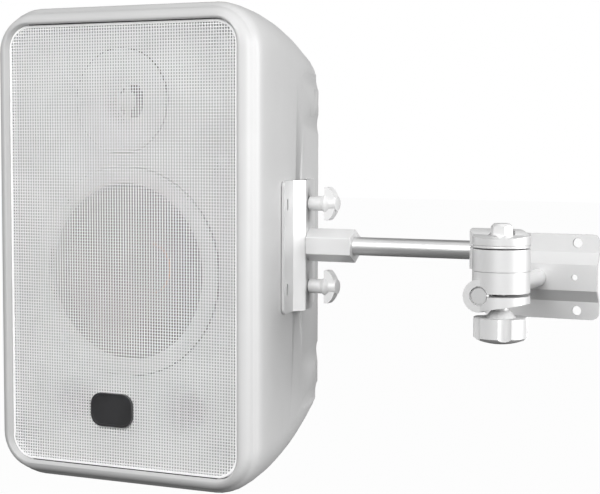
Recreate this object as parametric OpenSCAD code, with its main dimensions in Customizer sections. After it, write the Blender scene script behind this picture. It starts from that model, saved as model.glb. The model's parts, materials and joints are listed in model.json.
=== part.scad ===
// Compact two-way wall loudspeaker on a jointed side arm.
// X runs to the right, Y towards the wall and Z up, in millimetres.
// The origin is the middle of the wall plate's hole pattern, on the wall.
// Inside cabinet_place() the origin is the middle of the grille's face.

/* [Cabinet] */
// Width of the cabinet at its widest
cabinet_w = 150; // [146:1:154]
// Height of the cabinet at its tallest
cabinet_h = 242; // [238:1:246]
// Depth from the grille's face to the back
cabinet_d = 145; // [142:1:150]
// Depth at which the front moulding meets the rear shell
seam_y = 38; // [34:1:42]
// Thickness of the moulded walls
wall = 3.5; // [3:0.5:4]
// Radius of the front view's corners
corner_r = 25; // [22:1:28]
// How far the sides lean in on their way to the back corner
side_lean = 15.5; // [12:0.5:18]
// How far the top and the bottom lean in on their way to the back corner
top_lean = 11.5; // [9:0.5:13]
// Width of the margin around the grille
margin = 8.7; // [8:0.1:10]
// How far the rounded margin stands in front of the grille
bezel_rise = 2.8; // [2:0.1:3.5]

/* [Drivers] */
// Height of the woofer's centre
woofer_z = -12.4; // [-14:0.2:-10]
// Outer radius of the woofer's frame
woofer_r = 52.5; // [51:0.5:54]
// Sideways place of the tweeter
tweeter_x = -2; // [-4:0.5:4]
// Height of the tweeter's centre
tweeter_z = 73.4; // [72:0.2:76]
// Outer radius of the tweeter's faceplate
tweeter_r = 25.8; // [25:0.2:27]
// Sideways place of each port
port_x = 33; // [31:0.5:35]
// Height of the ports
port_z = -81; // [-83:0.5:-79]

/* [Arm] */
// Sideways reach from the wall rod to the cabinet's middle
arm_reach = 173; // [170:0.5:190]
// Gap between the cabinet's back and the wall
wall_gap = 13; // [12:1:30]
// Height of the arm rod above the wall rod
arm_rise = 20.6; // [20:0.1:22]
// Depth of the arm rod behind the grille's face
arm_depth = 63; // [60:1:66]
// Radius of both rods
rod_r = 4.65; // [4.5:0.05:4.75]
// Radius of the clamp blocks
clamp_r = 14; // [13.5:0.5:15]
// Radius of the clamp bolt
bolt_r = 2.5; // [2.5:0.1:3]
// Width across the flats of the hexagonal sleeve
hex_flats = 15; // [14:0.5:17]

/* [Wall plate] */
// Width of the plate
plate_w = 65; // [62:1:68]
// Height of the plate
plate_h = 46.5; // [46:0.5:50]
// Thickness of the plate's sheet
plate_t = 2; // [1.5:0.1:2.5]
// Sideways distance between the wall screws
screw_span_x = 40.9; // [38:0.1:42]
// Upright distance between the wall screws
screw_span_z = 37; // [36:0.2:38]
// Height of the plate's middle above the wall rod
plate_rise = 0.8; // [0:0.1:1.5]

/* [Hidden] */

$fn = 64;
eps = 0.01;
white = [0.93, 0.93, 0.92];
steel = [0.78, 0.79, 0.8];
dark = [0.12, 0.12, 0.13];
copper = [0.72, 0.45, 0.2];

// Places shared by the assembly
cabinet_at = [-arm_reach, -(cabinet_d + wall_gap), arm_rise - plate_rise];
arm_y = cabinet_at[1] + arm_depth;
rod_offset = rod_r + bolt_r + 0.3;
bolt_at = [rod_offset, arm_y - rod_offset, -plate_rise];
run_fit = 0.05;

// The cabinet's outline in plan and in side view
lean_from = 10;
lean_to = 108;
roll_x = 34.5;
roll_z = 14.5;
roll_power = 1.5;
corner_steps = 10;

// The board behind the grille
board_y = 6;
board_t = 5;
screw_x = 54.4;
screw_z = [101, 44, -44, -101];
post_r = 4.8;
post_bore_r = 1.9;
boss_end = 52;

// The bracket's plate and the thumb screws
knob_z = 21.4;
web_gap = 6.6;
collar_x = 76.2;
head_x = 84.9;
bracket_z = 33.5;
bracket_t = 1.5;
stud_r = 2.95;
insert_r = 4.5;

// The loudspeaker terminals
cup_z = -45;
cup_w = 40;
cup_h = 34;
lever_x = 9;
lever_pivot = [cabinet_d - 7, cup_z - 8];
pin_r = 1.2;

module cabinet_place() { translate(cabinet_at) children(); }

module along_x(at = [0, 0, 0]) { translate(at) rotate([0, 90, 0]) children(); }

module along_y(at = [0, 0, 0]) { translate(at) rotate([-90, 0, 0]) children(); }

// A slab with round corners whose face looks along Y
module rounded_slab(w, h, r, y0, y1) {
    translate([0, y1, 0]) rotate([90, 0, 0]) linear_extrude(y1 - y0) {
        square([w - 2 * r, h], center = true);
        square([w, h - 2 * r], center = true);
        for (x = [-1, 1], z = [-1, 1])
            translate([x * (w / 2 - r), z * (h / 2 - r)]) circle(r);
    }
}

// One ring of points around a rounded rectangle at depth y
function ring(hw, hh, r, y) = [
    for (k = [0:3], i = [0:corner_steps])
        let (a = 90 * k + 90 * i / corner_steps)
        let (cx = (k == 0 || k == 3) ? hw - r : r - hw)
        let (cz = k < 2 ? hh - r : r - hh)
        [cx + r * cos(a), y, cz + r * sin(a)]
];

// A closed skin through rings of equal length; the first one's cap looks towards +Y
module loft(rings) {
    m = len(rings[0]);
    last = len(rings) - 1;
    points = [for (one = rings) each one];
    sides = [
        for (i = [0:last - 1], j = [0:m - 1])
            let (k = (j + 1) % m)
            each [
                [i * m + j, (i + 1) * m + j, (i + 1) * m + k],
                [i * m + j, (i + 1) * m + k, i * m + k]
            ]
    ];
    caps = [[for (j = [0:m - 1]) j], [for (j = [m - 1:-1:0]) last * m + j]];
    polyhedron(points, concat(sides, caps), convexity = 8);
}

// Half width, half height and corner radius of the body's straight stretch
function side_at(y) = cabinet_w / 2 - side_lean * pow(max(0, y - lean_from) / (lean_to - lean_from), 1.45);
function top_at(y) = cabinet_h / 2 - top_lean * pow(max(0, y - lean_from) / (lean_to - lean_from), 1.7);
function radius_at(y) = corner_r + 3 * max(0, y - lean_from) / (lean_to - lean_from);

function body_ring(y, inset) =
    ring(side_at(y) - inset, top_at(y) - inset, radius_at(y) - inset, y);

// A ring on the rolled back corner, from angle 0 at the sides to 90 on the back
function roll_ring(t, inset) =
    let (c = pow(cos(t), 2 / roll_power))
    let (s = pow(sin(t), 2 / roll_power))
    let (hw = side_at(lean_to) - roll_x + (roll_x - inset) * c)
    let (hh = top_at(lean_to) - roll_z + (roll_z - inset) * c)
    ring(hw, hh, min(radius_at(lean_to) - inset, hw - 4), lean_to + (cabinet_d - lean_to - inset) * s);

body_ys = [50, 62, 74, 84, 92, 100];
roll_ts = [0, 15, 30, 45, 60, 75, 90];

function back_rings(inset) = concat(
    [for (y = body_ys) body_ring(y, inset)],
    [for (t = roll_ts) roll_ring(t, inset)]
);

function reversed(list) = [for (i = [len(list) - 1:-1:0]) list[i]];

// The rounded margin: depth and inset of each ring, from the side to the grille's recess
bezel_profile = [
    [6.5, 0.4], [4.4, 1.3], [3.3, 2.4], [2.5, 2.8], [0.8, 3.3],
    [-1, 4.4], [-2.3, 6.1], [-bezel_rise, 7.6], [-2.5, margin]
];

function bezel_ring(y, inset) =
    ring(cabinet_w / 2 - inset, cabinet_h / 2 - inset, corner_r - inset * (corner_r - 12.3) / margin, y);

module front_baffle() {
    color(white) cabinet_place() difference() {
        union() {
            loft(concat(
                [bezel_ring(board_y + board_t, wall), body_ring(seam_y, wall)],
                [for (y = [seam_y, 30, 20, lean_from]) body_ring(y, 0)],
                [for (p = bezel_profile) bezel_ring(p[0], p[1])],
                [bezel_ring(board_y, margin)]
            ));
            for (x = [-screw_x, screw_x], z = screw_z)
                along_y([x, board_y + board_t - 1, z]) cylinder(r = post_r, h = seam_y - board_y - board_t + 1);
        }
        for (x = [-screw_x, screw_x], z = screw_z) {
            along_y([x, 0, z]) cylinder(r = post_bore_r, h = seam_y + 1);
            along_y([x, 0, z]) cylinder(r = 3.6, h = board_y + 2.5);
        }
        along_y([0, 0, woofer_z]) cylinder(r = 46.5, h = 30);
        along_y([tweeter_x, 0, tweeter_z]) cylinder(r = 22, h = 30);
        for (x = [-port_x, port_x]) along_y([x, 0, port_z]) cylinder(r = 14.2, h = 30);
        driver_holes();
    }
}

// Pilot holes for the drivers' screws
module driver_holes() {
    for (a = [45:90:315])
        along_y([49.4 * cos(a), 0, woofer_z + 49.4 * sin(a)]) cylinder(r = 1.6, h = 30);
    for (a = [0:90:270])
        along_y([tweeter_x + 23.6 * cos(a), 0, tweeter_z + 23.6 * sin(a)]) cylinder(r = 1.2, h = 30);
}

// Finger scoops cut along each back corner
scoop_z = [86.4, 62.7, -63, -85.5];
scoop_r = 7.5;
scoop_start = 72;
scoop_angle = 15.1;

module scoops() {
    for (side = [-1, 1], z = scoop_z)
        scale([side, 1, 1])
            translate([side_at(scoop_start), scoop_start, z])
                rotate([0, 0, scoop_angle])
                    along_y([scoop_r, -10, 0]) cylinder(r = scoop_r, h = 70);
}

module rear_shell() {
    rib_end = side_at(boss_end) - 2.2;
    color(white) cabinet_place() difference() {
        union() {
            loft(concat(
                reversed(back_rings(0)), [body_ring(seam_y, 0), body_ring(seam_y, wall)], back_rings(wall)
            ));
            for (side = [-1, 1], z = screw_z) {
                along_y([side * screw_x, seam_y, z]) cylinder(r = post_r, h = boss_end - seam_y);
                translate([side > 0 ? screw_x : -rib_end, seam_y + 0.5, z - 1.5])
                    cube([rib_end - screw_x, boss_end - seam_y - 0.5, 3]);
            }
            for (z = [-knob_z, knob_z]) along_x([54, arm_depth, z]) cylinder(r = 7, h = 13);
            for (x = [-20, 20], z = [5, 63]) along_y([x, 130, z]) cylinder(r = 3, h = cabinet_d - 132);
        }
        for (x = [-screw_x, screw_x], z = screw_z)
            along_y([x, seam_y - 1, z]) cylinder(r = 1.8, h = boss_end - seam_y - 1);
        for (z = [-knob_z, knob_z]) along_x([55.5, arm_depth, z]) cylinder(r = insert_r, h = 20);
        for (x = [-20, 20], z = [5, 63]) along_y([x, 129, z]) cylinder(r = 1.25, h = 9);
        translate([-cup_w / 2, cabinet_d - 10, cup_z - cup_h / 2]) cube([cup_w, 20, cup_h]);
        for (x = [-1, 1], z = [-1, 1])
            along_y([x * 21.8, cabinet_d - 10, cup_z + z * 18.8]) cylinder(r = 1.1, h = 20);
        scoops();
    }
}

// Square-hole grille with its folded skirt
grille_w = cabinet_w - 2 * margin - 1;
grille_h = cabinet_h - 2 * margin - 1;
grille_t = 1.2;
grille_columns = 8;
grille_rows = 15;
grille_bar = 2;
grille_pitch_x = (grille_w - 8) / grille_columns;
grille_pitch_z = (grille_h - 8) / grille_rows;

module grille() {
    color(white) cabinet_place() difference() {
        rounded_slab(grille_w, grille_h, 12, 0, board_y);
        rounded_slab(grille_w - 2 * grille_t, grille_h - 2 * grille_t, 10.8, grille_t, board_y + 1);
        for (i = [0:grille_columns - 1], j = [0:grille_rows - 1])
            translate([
                (i - grille_columns / 2) * grille_pitch_x + grille_bar / 2, -1,
                (j - grille_rows / 2) * grille_pitch_z + grille_bar / 2
            ])
                cube([grille_pitch_x - grille_bar, grille_t + 2, grille_pitch_z - grille_bar]);
    }
}

// Plain dark badge with a raised rim
badge_at = [-5, 0, -82.3];

module badge() {
    color(dark) cabinet_place() translate(badge_at) difference() {
        rounded_slab(24, 17, 6, -1.8, 0);
        rounded_slab(21.6, 14.6, 4.8, -3, -1.4);
    }
}

module cabinet_screws() {
    color(steel) cabinet_place()
        for (x = [-screw_x, screw_x], z = screw_z) difference() {
            union() {
                along_y([x, board_y + 0.7, z]) cylinder(r = 3.3, h = 1.8);
                along_y([x, board_y + 1, z]) cylinder(r = 1.75, h = boss_end - board_y - 4);
            }
            along_y([x, board_y, z]) cylinder(r = 1.3, h = 1.7, $fn = 6);
        }
}

module bracket_inserts() {
    color("goldenrod") cabinet_place()
        for (z = [-knob_z, knob_z]) along_x([55.5, arm_depth, z]) difference() {
            cylinder(r = insert_r, h = side_at(arm_depth) - 56);
            translate([0, 0, -1]) cylinder(r = stud_r + run_fit, h = 20);
        }
}

// The woofer's pieces are turned about an axis through its centre
module woofer_place() { cabinet_place() along_y([0, 0, woofer_z]) children(); }

module woofer_basket() {
    color(white) woofer_place() difference() {
        rotate_extrude() polygon([
            [44.8, 3.2], [woofer_r - 0.7, 3.2], [woofer_r, 3.9], [woofer_r, 5.2], [46.2, 5.2], [46.2, 20],
            [28, 40], [28, 42.2], [15, 42.2], [15, 40.4], [26.6, 40.4], [44.8, 19.4]
        ]);
        for (a = [0:60:300]) rotate(a) translate([28.8, -10, 21.5]) cube([20, 20, 16]);
        for (a = [45:90:315]) rotate(a) translate([49.4, 0, 0]) cylinder(r = 1.8, h = 10);
    }
}

module woofer_gasket() {
    color(dark) woofer_place() difference() {
        translate([0, 0, 5.2]) cylinder(r = woofer_r - 0.3, h = board_y - 5.2);
        cylinder(r = 46.6, h = 10);
        for (a = [45:90:315]) rotate(a) translate([49.4, 0, 0]) cylinder(r = 1.8, h = 10);
    }
}

surround_y = 8.5;

module woofer_surround() {
    color(dark) woofer_place() rotate_extrude() {
        translate([40.6, surround_y + 0.9]) intersection() {
            difference() {
                circle(3.4);
                circle(2.5);
            }
            translate([-4, -4]) square([8, 4]);
        }
        translate([43.9, surround_y]) square([0.8, 0.9]);
        translate([36.2, surround_y]) square([1.2, 0.9]);
    }
}

module woofer_cone() {
    rim = surround_y + 0.9;
    color([0.25, 0.25, 0.27]) woofer_place() rotate_extrude() polygon([
        [37.4, rim], [36, rim], [13.35, 27.2], [13.35, 28.4], [36.3, rim + 0.9], [37.4, rim + 0.9]
    ]);
}

module woofer_dust_cap() {
    color(dark) woofer_place() rotate_extrude() intersection() {
        translate([0, 37.8]) difference() {
            circle(18);
            circle(17.2);
        }
        translate([0, 15]) square([14, 11.5]);
    }
}

module woofer_spider() {
    wave = [for (i = [0:13]) [14 + i, 38 + (i % 2 == 0 ? -0.8 : 0.8)]];
    color("goldenrod") woofer_place() rotate_extrude()
        polygon(concat(wave, [for (p = reversed(wave)) [p[0], p[1] + 0.5]]));
}

module woofer_voice_coil() {
    color(copper) woofer_place() difference() {
        union() {
            translate([0, 0, 27]) cylinder(r = 13.3, h = 23);
            translate([0, 0, 41]) cylinder(r = 13.9, h = 9);
        }
        translate([0, 0, 26]) cylinder(r = 12.7, h = 30);
    }
}

module woofer_top_plate() {
    color(steel) woofer_place() translate([0, 0, 42.2]) difference() {
        cylinder(r = 30, h = 5);
        translate([0, 0, -1]) cylinder(r = 14.6, h = 7);
    }
}

module woofer_magnet() {
    color([0.2, 0.2, 0.22]) woofer_place() translate([0, 0, 47.2]) difference() {
        cylinder(r = 36, h = 12);
        translate([0, 0, -1]) cylinder(r = 17, h = 14);
    }
}

module woofer_yoke() {
    color(steel) woofer_place() {
        translate([0, 0, 59.2]) cylinder(r = 30, h = 5);
        translate([0, 0, 43]) cylinder(r = 11.9, h = 17);
    }
}

module woofer_screws() {
    color(steel) woofer_place() for (a = [45:90:315]) rotate(a) translate([49.4, 0, 0]) difference() {
        union() {
            translate([0, 0, 1.9]) cylinder(r = 2.7, h = 1.3);
            translate([0, 0, 2.5]) cylinder(r = 1.55, h = 12);
        }
        translate([0, 0, 1]) cylinder(r = 1.1, h = 1.5, $fn = 6);
    }
}

// The tweeter's pieces
module tweeter_place() { cabinet_place() along_y([tweeter_x, 0, tweeter_z]) children(); }

throat_r = 10.2;
throat_y = 11;
plug_y = 9.6;

module tweeter_faceplate() {
    front = 4.2;
    lip = tweeter_r - 1.2;
    horn = [for (t = [90:-15:0]) [lip - (lip - throat_r) * sin(t), throat_y - (throat_y - front) * cos(t)]];
    color(white) tweeter_place() difference() {
        rotate_extrude() polygon(concat(horn, [
            [tweeter_r - 0.4, front], [tweeter_r, front + 0.4], [tweeter_r, board_y],
            [21.8, board_y], [21.8, 17], [throat_r, 17]
        ]));
        for (a = [0:90:270]) rotate(a) translate([23.6, 0, 0]) cylinder(r = 1.3, h = 10);
    }
}

// Bullet held in the throat by an upright bridge
module tweeter_phase_plug() {
    color(white) tweeter_place() {
        translate([0, 0, plug_y]) cylinder(r1 = 4.4, r2 = 5, h = 1.6);
        translate([0, 0, plug_y + 0.8]) linear_extrude(1.5) intersection() {
            circle(throat_r);
            square([2.6, 30], center = true);
        }
    }
}

module tweeter_dome() {
    color(dark) tweeter_place() rotate_extrude() {
        intersection() {
            translate([0, 23.5]) difference() {
                circle(11);
                circle(10.5);
            }
            translate([0, 12]) square([8.4, 4.5]);
        }
        translate([8, 16.3]) square([0.4, 6]);
    }
}

module tweeter_top_plate() {
    color(steel) tweeter_place() translate([0, 0, 17]) difference() {
        cylinder(r = 17, h = 3);
        translate([0, 0, -1]) cylinder(r = 8.8, h = 5);
    }
}

module tweeter_magnet() {
    color([0.2, 0.2, 0.22]) tweeter_place() translate([0, 0, 20]) difference() {
        cylinder(r = 19, h = 7);
        translate([0, 0, -1]) cylinder(r = 10.5, h = 9);
    }
}

module tweeter_yoke() {
    color(steel) tweeter_place() {
        translate([0, 0, 27]) cylinder(r = 17, h = 3);
        translate([0, 0, 18]) cylinder(r = 7.4, h = 10);
    }
}

module tweeter_screws() {
    color(steel) tweeter_place() for (a = [0:90:270]) rotate(a) translate([23.6, 0, 0]) {
        translate([0, 0, 3]) cylinder(r = 1.9, h = 1.2);
        translate([0, 0, 4]) cylinder(r = 1.15, h = 9);
    }
}

// Flared bass port
module port_tube(x) {
    bore = 9.5;
    flare = [for (t = [0:15:90]) [13 - (13 - bore) * sin(t), board_y + 8 * (1 - cos(t))]];
    color(white) cabinet_place() along_y([x, 0, port_z]) rotate_extrude() polygon(concat(flare, [
        [bore, 62], [bore + 1.5, 62], [bore + 1.5, 17], [14.1, board_y + board_t], [14.1, board_y]
    ]));
}

module port_tube_left() { port_tube(-port_x); }

module port_tube_right() { port_tube(port_x); }

// The crossover stands on four posts of the back wall
crossover_y = 128.4;

module crossover_board() {
    color("darkgreen") cabinet_place() difference() {
        translate([-25, crossover_y, -2]) cube([50, 1.6, 72]);
        for (x = [-20, 20], z = [5, 63]) along_y([x, crossover_y - 1, z]) cylinder(r = 1.5, h = 5);
    }
}

module crossover_coils() {
    color(copper) cabinet_place() for (coil = [[-9, 20, 12.5], [10, 50, 9.5]])
        along_y([coil[0], crossover_y - 10, coil[1]]) difference() {
            cylinder(r = coil[2], h = 10);
            translate([0, 0, -1]) cylinder(r = 5, h = 12);
        }
}

module crossover_capacitors() {
    color("firebrick") cabinet_place() {
        along_x([-20, crossover_y - 5.5, 46]) cylinder(r = 5.5, h = 18);
        translate([16, crossover_y - 5, 8]) cylinder(r = 5, h = 22);
    }
}

module crossover_resistor() {
    color("ivory") cabinet_place() translate([-21, crossover_y - 8, 52.2]) cube([20, 8, 8]);
}

module board_screws() {
    color(steel) cabinet_place() for (x = [-20, 20], z = [5, 63]) {
        along_y([x, crossover_y - 1.4, z]) cylinder(r = 2.4, h = 1.4);
        along_y([x, crossover_y - 0.5, z]) cylinder(r = 1.2, h = 8);
    }
}

// Recessed cup with two sprung levers
module terminal_cup() {
    floor_y = cabinet_d - 14;
    color(dark) cabinet_place() difference() {
        union() {
            rounded_tray(48, 42, 3, cabinet_d, cabinet_d + 2);
            translate([-cup_w / 2 + 0.2, floor_y - 2, cup_z - cup_h / 2 + 0.2])
                cube([cup_w - 0.4, 16, cup_h - 0.4]);
        }
        difference() {
            translate([-cup_w / 2 + 2, floor_y, cup_z - cup_h / 2 + 2]) cube([cup_w - 4, 20, cup_h - 4]);
            for (x = [-lever_x, lever_x], side = [-1, 1])
                translate([x + side * 7 - 0.9, floor_y - eps, cup_z - cup_h / 2 + 1.9])
                    cube([1.8, 10, 10]);
        }
        for (x = [-lever_x, lever_x])
            along_x([x - 9, lever_pivot[0], lever_pivot[1]]) cylinder(r = pin_r + run_fit, h = 18);
        for (x = [-1, 1], z = [-1, 1])
            along_y([x * 21.8, cabinet_d - 1, cup_z + z * 18.8]) cylinder(r = 1.3, h = 5);
    }
}

module rounded_tray(w, h, r, y0, y1) {
    translate([0, 0, cup_z]) rounded_slab(w, h, r, y0, y1);
}

// Lever in side view: a thin blade with a finger pad at its top
module terminal_lever(x) {
    cabinet_place() translate([x, lever_pivot[0], lever_pivot[1]]) {
        along_x([-5.5, 0, 0]) linear_extrude(11) {
            circle(2);
            translate([-13, -1.3]) square([13, 2.6]);
            translate([-13, 0]) square([5, 4]);
        }
        along_x([-7.6, 0, 0]) cylinder(r = pin_r, h = 15.2);
    }
}

module terminal_lever_red() { color("firebrick") terminal_lever(-lever_x); }

module terminal_lever_black() { color(dark) terminal_lever(lever_x); }

module terminal_screws() {
    color(steel) cabinet_place() for (x = [-1, 1], z = [-1, 1]) {
        along_y([x * 21.8, cabinet_d + 2, cup_z + z * 18.8]) cylinder(r = 2, h = 1);
        along_y([x * 21.8, cabinet_d - 5, cup_z + z * 18.8]) cylinder(r = 1.05, h = 7.5);
    }
}

// Bent plate on the cabinet's side: a flange, a raised web beside the panel and a second flange
flange_y = [33.5, 49.5];
web_y = [56, 70.5];
tail_y = [79.5, 96];
slot_y = 39.4;
tail_hole_y = 88;

function web_at(y) = side_at(y) + web_gap;

web_tilt = atan((web_at(web_y[0]) - web_at(web_y[1])) / (web_y[1] - web_y[0]));

// An upright slot through the front flange
module flange_slot(z) {
    for (end = [-1.7, 1.7]) along_x([60, slot_y, z + end]) cylinder(r = 1.3, h = 30);
    translate([60, slot_y - 1.3, z - 1.7]) cube([30, 2.6, 3.4]);
}

module speaker_bracket() {
    t = bracket_t;
    lift = 0.25;
    flange_x = [for (y = flange_y) side_at(y) + lift];
    tail_x = [for (y = tail_y) side_at(y) + lift];
    inner = [
        [flange_x[0], flange_y[0]], [flange_x[1], flange_y[1]], [web_at(web_y[0]) - t, web_y[0] + 0.6],
        [web_at(web_y[1]) - t, web_y[1] - 0.6], [tail_x[0], tail_y[0] - 0.4], [tail_x[1], tail_y[1]]
    ];
    outer = [
        [tail_x[1] + t, tail_y[1]], [tail_x[0] + t, tail_y[0] + 0.4], [web_at(web_y[1]), web_y[1]],
        [web_at(web_y[0]), web_y[0]], [flange_x[1] + t, flange_y[1] - 0.4], [flange_x[0] + t, flange_y[0]]
    ];
    middle = (flange_y[0] + tail_y[1]) / 2;
    color(white) cabinet_place() difference() {
        intersection() {
            translate([0, 0, -bracket_z]) linear_extrude(2 * bracket_z) polygon(concat(inner, outer));
            translate([0, middle, 0]) rotate([0, 0, -90])
                rounded_slab(tail_y[1] - flange_y[0], 2 * bracket_z, 3, 50, 90);
        }
        for (z = [-knob_z, knob_z]) {
            flange_slot(z);
            along_x([60, tail_hole_y, z]) cylinder(r = 1.6, h = 30);
            along_x([70, arm_depth, z]) cylinder(r = stud_r + 0.35, h = 20);
        }
    }
}

socket_end = 99.7;
socket_floor = 80;

// The sleeve's foot follows the web's slope
module hex_socket() {
    color(white) cabinet_place() difference() {
        along_x([70, arm_depth, 0]) cylinder(r = hex_flats / sqrt(3), h = socket_end - 70, $fn = 6);
        translate([web_at(web_y[0]), web_y[0], 0]) rotate([0, 0, web_tilt])
            translate([-20, -20, -20]) cube([20, 60, 40]);
        along_x([socket_floor, arm_depth, 0]) cylinder(r = rod_r + run_fit, h = 30);
    }
}

module arm_rod() {
    start = cabinet_at[0] + socket_floor + 0.2;
    color(steel) along_x([start, arm_y, cabinet_at[2]]) cylinder(r = rod_r, h = bolt_at[0] + 11 - start);
}

// Wing-headed thumb screw: a round collar that flares into two wings
module thumb_knob(z) {
    color(white) cabinet_place() difference() {
        union() {
            along_x([collar_x, arm_depth, z]) cylinder(r = 3.75, h = head_x + 6.6 - collar_x);
            along_x([head_x - 2, arm_depth, z]) cylinder(r1 = 3.75, r2 = 5.6, h = 2.6);
            translate([0, arm_depth + 2.9, z]) rotate([90, 0, 0]) linear_extrude(5.8) intersection() {
                translate([head_x, -8.5]) square([8, 17]);
                translate([head_x - 4.9, 0]) circle(11);
            }
        }
        along_x([collar_x - 1, arm_depth, z]) cylinder(r = stud_r, h = 10);
    }
}

module thumb_knob_upper() { thumb_knob(knob_z); }

module thumb_knob_lower() { thumb_knob(-knob_z); }

module thumb_stud(z) {
    color(steel) cabinet_place() along_x([57, arm_depth, z]) cylinder(r = stud_r, h = collar_x + 9 - 57);
}

module thumb_stud_upper() { thumb_stud(knob_z); }

module thumb_stud_lower() { thumb_stud(-knob_z); }

// Both clamp blocks are split castings: a bore beside the bolt and a slit that closes on it
parting_z = 11.7;
block_top = 31.6;
slit = 1.6;
fine_slit = 0.8;
bolt_seat = 28;
neck_seat = -5.4;
foot_slope = 9.4;
boss_left = 17;
boss_right = 13.2;
boss_back = 6.4;

// The round front has a sloping top, a slit and a shallow groove; the rod's boss stands behind
module clamp_upper_block() {
    color(white) translate(bolt_at) difference() {
        intersection() {
            union() {
                intersection() {
                    cylinder(r = clamp_r, h = block_top);
                    translate([0, -clamp_r, 27.7]) rotate([5.3, 0, 0]) translate([-20, -10, -30])
                        cube([40, 50, 30]);
                }
                along_x([-boss_left, rod_offset, arm_rise]) cylinder(r = 11, h = boss_left + boss_right);
            }
            translate([-20, -20, parting_z + 0.1])
                cube([40, 20 + rod_offset + boss_back, block_top - parting_z - 0.1]);
        }
        along_x([-30, rod_offset, arm_rise]) cylinder(r = rod_r + run_fit, h = 60);
        translate([-30, -30, arm_rise + 1.8]) cube([60, 30 + rod_offset, fine_slit]);
        translate([0, 0, arm_rise + 3.2]) difference() {
            translate([-20, -20, 0]) cube([40, 20, fine_slit]);
            cylinder(r = clamp_r - 0.7, h = fine_slit);
        }
        cylinder(r = bolt_r + 0.1, h = 60);
        translate([0, 0, bolt_seat]) cylinder(r = 6.5, h = 10);
    }
}

module clamp_lower_block() {
    color(white) translate(bolt_at) difference() {
        union() {
            difference() {
                translate([0, 0, -12]) cylinder(r = clamp_r, h = parting_z - 0.1 + 12);
                translate([0, 0, -6.1]) rotate([0, -foot_slope, 0]) translate([-30, -30, -20])
                    cube([60, 60, 20]);
            }
            along_y([-rod_offset, -12.2, 0]) cylinder(r = 8, h = 24.7);
        }
        along_y([-rod_offset, -30, 0]) cylinder(r = rod_r + run_fit, h = 60);
        translate([-rod_offset, -30, 0.5 - slit / 2]) cube([40, 60, slit]);
        translate([0, 0, -30]) cylinder(r = bolt_r + 0.4, h = 60);
        translate([0, 0, neck_seat - 10]) cylinder(r = 5.7, h = 10);
    }
}

module clamp_bolt() {
    color(steel) translate(bolt_at) {
        translate([0, 0, -17]) cylinder(r = bolt_r, h = bolt_seat + 18);
        translate([0, 0, bolt_seat + 1]) intersection() {
            cylinder(r = 5.5, h = 5.6, $fn = 6);
            cylinder(r1 = 9.4, r2 = 3.8, h = 5.6);
        }
    }
}

module clamp_washer() {
    color(steel) translate(bolt_at) translate([0, 0, bolt_seat]) difference() {
        cylinder(r = 6.2, h = 1);
        translate([0, 0, -1]) cylinder(r = bolt_r + 0.1, h = 3);
    }
}

// Lobed knob with a conical neck and a domed foot
knob_r = 13.3;
knob_top = -9.8;
knob_foot = -23.2;
dome_r = 32;
knob_insert_r = 4;

module clamp_knob() {
    neck_top = neck_seat - 0.2;
    color(white) translate(bolt_at) difference() {
        union() {
            intersection() {
                translate([0, 0, knob_foot - 1]) cylinder(r = knob_r, h = knob_top - knob_foot + 1);
                translate([0, 0, knob_foot + dome_r]) sphere(r = dome_r);
            }
            translate([0, 0, knob_top - eps]) cylinder(r1 = 6.4, r2 = 3.8, h = neck_top - knob_top + eps);
        }
        for (a = [0:72:288]) rotate(a - 65) translate([knob_r + 3.4, 0, -30]) cylinder(r = 5, h = 25);
        translate([0, 0, -18]) cylinder(r = knob_insert_r, h = 10);
        translate([0, 0, -10]) cylinder(r = bolt_r + 0.4, h = 10);
    }
}

module clamp_knob_insert() {
    color("goldenrod") translate(bolt_at) translate([0, 0, -18]) difference() {
        cylinder(r = knob_insert_r, h = 10);
        translate([0, 0, 0.5]) cylinder(r = bolt_r + run_fit, h = 12);
    }
}

// Hat-section plate on the wall
web_half = 7.1;
slant_z = 6.4;
web_rise = 5;
web_screw_x = 20.2;

module wall_rod() {
    front = bolt_at[1] - 12;
    color(steel) along_y([0, front, -plate_rise]) cylinder(r = rod_r, h = -plate_t - web_rise - front);
}

module wall_plate() {
    t = plate_t;
    half = plate_h / 2;
    slant = sqrt(slant_z * slant_z + web_rise * web_rise);
    drop = t * (slant - slant_z) / web_rise;
    front = [[-t, half], [-t, web_half + slant_z], [-t - web_rise, web_half]];
    back = [[0, half], [0, web_half + slant_z - drop], [-web_rise, web_half - drop]];
    mirrored_front = [for (p = reversed(front)) [p[0], -p[1]]];
    mirrored_back = [for (p = back) [p[0], -p[1]]];
    color(white) difference() {
        intersection() {
            translate([-plate_w / 2, 0, 0]) rotate([90, 0, 90]) linear_extrude(plate_w)
                polygon(concat(front, mirrored_front, mirrored_back, reversed(back)));
            rounded_slab(plate_w, plate_h, 4, -20, 10);
        }
        for (x = [-1, 1], z = [-1, 1])
            along_y([x * screw_span_x / 2, -10, z * screw_span_z / 2]) cylinder(r = 2.6, h = 20);
        for (x = [-web_screw_x, web_screw_x]) along_y([x, -15, 0]) cylinder(r = 1.65, h = 20);
    }
}

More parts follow.
